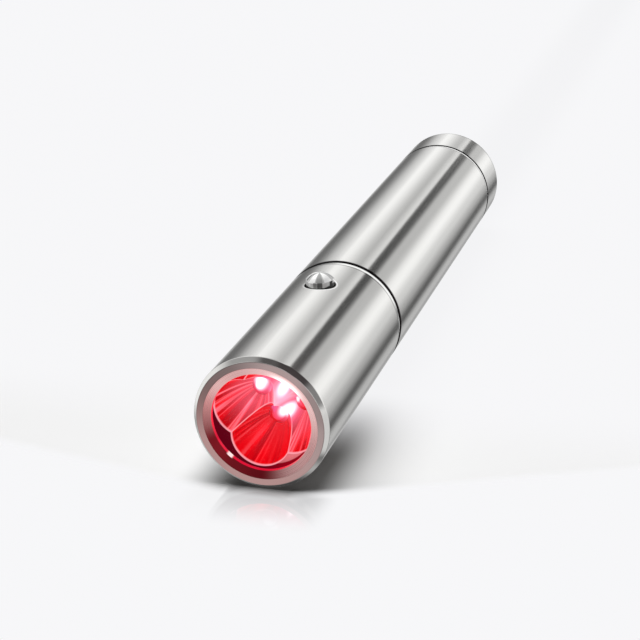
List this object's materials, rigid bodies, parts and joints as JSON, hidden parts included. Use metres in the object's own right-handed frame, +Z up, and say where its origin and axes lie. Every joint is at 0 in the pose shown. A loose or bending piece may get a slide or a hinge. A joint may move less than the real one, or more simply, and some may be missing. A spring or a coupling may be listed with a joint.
{
  "type": "red light therapy wand",
  "caption": "Slim straight metal wand with a round red lamp window over a cupped reflector at one end, a push button on the side, and a screw-off head and tail cap.",
  "frame": {"origin": "on the floor under the middle of the wand, which lies on its side with the button up", "axes": "+Y along the wand from the window to the tail cap, +Z up through the button, +X to the right seen from the window end looking along +Y"},
  "size_m": [0.0254, 0.155, 0.028],
  "materials": {
    "steel_tube": "brushed along the tube, satin",
    "button_steel": "spun round its centre, bright",
    "bezel_metal": "satin, lit pink by the lamps",
    "lens_glass": "clear, polished",
    "reflector_plating": "mirror plating, lit deep red by the lamps",
    "lamp": "clear dome over a lit red chip",
    "plain_steel": "plated",
    "brass": "turned, satin",
    "seal_rubber": "matte",
    "silicone": "translucent grey, matte",
    "circuit_board": "solder mask",
    "white_plastic": "matte",
    "black_plastic": "moulded, matte",
    "lead_red": "silicone insulation",
    "lead_black": "silicone insulation",
    "cell_wrap": "shrunk plastic sleeve"
  },
  "bodies": {
    "battery_tube": {"battery_tube": "steel_tube", "battery_can": "cell_wrap", "battery_insulator": "white_plastic", "battery_terminal": "plain_steel"},
    "head_seal": {"head_oring": "seal_rubber"},
    "head": {"head_tube": "steel_tube", "front_bezel": "bezel_metal", "lens_gasket": "seal_rubber", "lens": "lens_glass", "reflector": "reflector_plating", "led_spacer": "white_plastic", "led_1": "lamp", "led_2": "lamp", "led_3": "lamp", "led_4": "lamp", "led_board": "circuit_board", "board_screw_1": "plain_steel", "board_screw_2": "plain_steel", "heat_sink": "brass", "led_lead_positive": "lead_red", "led_lead_negative": "lead_black", "driver_board": "circuit_board", "driver_coil": "black_plastic", "electronics_carrier": "black_plastic", "switch_board": "circuit_board", "tact_switch": "black_plastic", "return_dome": "silicone", "front_contact": "brass", "front_spring": "brass"},
    "button": {"power_button": "button_steel", "tact_plunger": "white_plastic"},
    "cap_seal": {"cap_oring": "seal_rubber"},
    "tail_cap": {"tail_cap": "steel_tube", "tail_board": "circuit_board", "tail_ring": "brass", "tail_spring": "brass"}
  },
  "joints": [
    {"name": "head_travel", "type": "slide", "parent": "battery_tube", "child": "head_seal", "axis": [0, -1, 0], "range_m": [0, 0.0061]},
    {"name": "head_unscrew", "type": "hinge", "parent": "head_seal", "child": "head", "pos_m": [0, -0.026, 0.01268], "axis": [0, -1, 0], "range_deg": [0, 2160]},
    {"name": "power_press", "type": "slide", "parent": "head", "child": "button", "axis": [0, 0, -1], "range_m": [0, 0.0008], "stiffness_N_per_m": 1200, "deforming": ["return_dome"]},
    {"name": "cap_travel", "type": "slide", "parent": "battery_tube", "child": "cap_seal", "axis": [0, 1, 0], "range_m": [0, 0.0061]},
    {"name": "cap_unscrew", "type": "hinge", "parent": "cap_seal", "child": "tail_cap", "pos_m": [0, 0.06535, 0.01268], "axis": [0, 1, 0], "range_deg": [0, 2160]}
  ],
  "couplings": [
    {"joint": "head_travel", "follows": "head_unscrew", "m_per_rad": 0.00015915},
    {"joint": "cap_travel", "follows": "cap_unscrew", "m_per_rad": 0.00015915}
  ]
}
